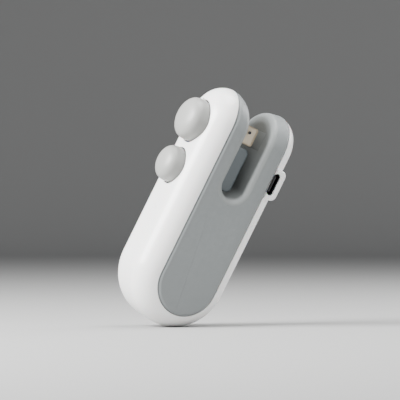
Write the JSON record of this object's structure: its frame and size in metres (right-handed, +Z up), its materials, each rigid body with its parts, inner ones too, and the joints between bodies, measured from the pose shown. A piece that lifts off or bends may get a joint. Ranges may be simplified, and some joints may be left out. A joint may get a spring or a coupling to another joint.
{
  "type": "handheld bag heat sealer",
  "caption": "Pill-shaped handheld heat sealer for plastic bags, with a slot between two fingers, a push button that closes a heater on a pad, and a push button that drives a hidden blade.",
  "frame": {"origin": "middle of the bounding box in plan, at the lowest point of the round end", "axes": "+Z up along the length towards the two fingers, -X towards the buttons, +X towards the back with the charging port, -Y towards the side that the port opens to"},
  "size_m": [0.0476, 0.029, 0.0959],
  "materials": {
    "white_shell": "satin gloss moulded white",
    "grey_case": "soft-touch grey",
    "lip": "soft lighter grey lip",
    "button": "satin warm grey",
    "guard": "dark blue-grey gloss",
    "silicone": "matt silicone",
    "glass_cloth": "woven glass cloth with a non-stick coat",
    "ceramic": "heat-proof moulding",
    "heating_strip": "flat resistance strip",
    "steel": "bright steel",
    "dark_steel": "blackened steel",
    "dark_nylon": "black moulded nylon",
    "brass": "turned brass",
    "cell_wrap": "blue shrink wrap",
    "board": "green solder mask",
    "chip": "black epoxy",
    "lead_red": "red insulated lead"
  },
  "bodies": {
    "housing": {"outer_shell": "white_shell", "near_case_half": "grey_case", "far_case_half": "grey_case", "slot_liner": "lip", "blade_guard": "guard", "anvil_pad": "silicone", "seal_guide_bush": "brass", "cut_guide_bush": "brass", "usb_receptacle": "dark_steel", "usb_tongue": "dark_nylon", "battery_cell": "cell_wrap", "battery_tray": "dark_nylon", "battery_contact_lower": "steel", "battery_contact_upper": "steel", "board_lead": "lead_red", "control_board": "board", "charge_board": "board", "charge_chip": "chip", "boost_inductor": "dark_steel", "thermal_fuse": "chip", "seal_switch": "chip", "case_screw_1": "steel", "case_screw_2": "steel", "case_screw_3": "steel", "case_screw_4": "steel"},
    "seal_head": {"seal_button_cap": "button", "seal_button_stem": "steel", "seal_retaining_ring": "steel", "seal_return_spring": "steel", "heater_carrier": "ceramic", "heating_element": "heating_strip", "heater_cloth": "glass_cloth", "heater_rivet": "dark_steel"},
    "cutter": {"cut_button_cap": "button", "cut_button_stem": "steel", "cut_retaining_ring": "steel", "cut_return_spring": "steel", "blade_holder": "dark_nylon", "cutter_blade": "steel"}
  },
  "joints": [
    {"name": "seal_press", "type": "slide", "parent": "housing", "child": "seal_head", "axis": [1, 0, 0], "range_m": [0, 0.003], "stiffness_N_per_m": 500, "springref_m": -0.003, "deforming": ["seal_return_spring"]},
    {"name": "cut_press", "type": "slide", "parent": "housing", "child": "cutter", "axis": [1, 0, 0], "range_m": [0, 0.0032], "stiffness_N_per_m": 500, "springref_m": -0.003, "deforming": ["cut_return_spring"]}
  ]
}
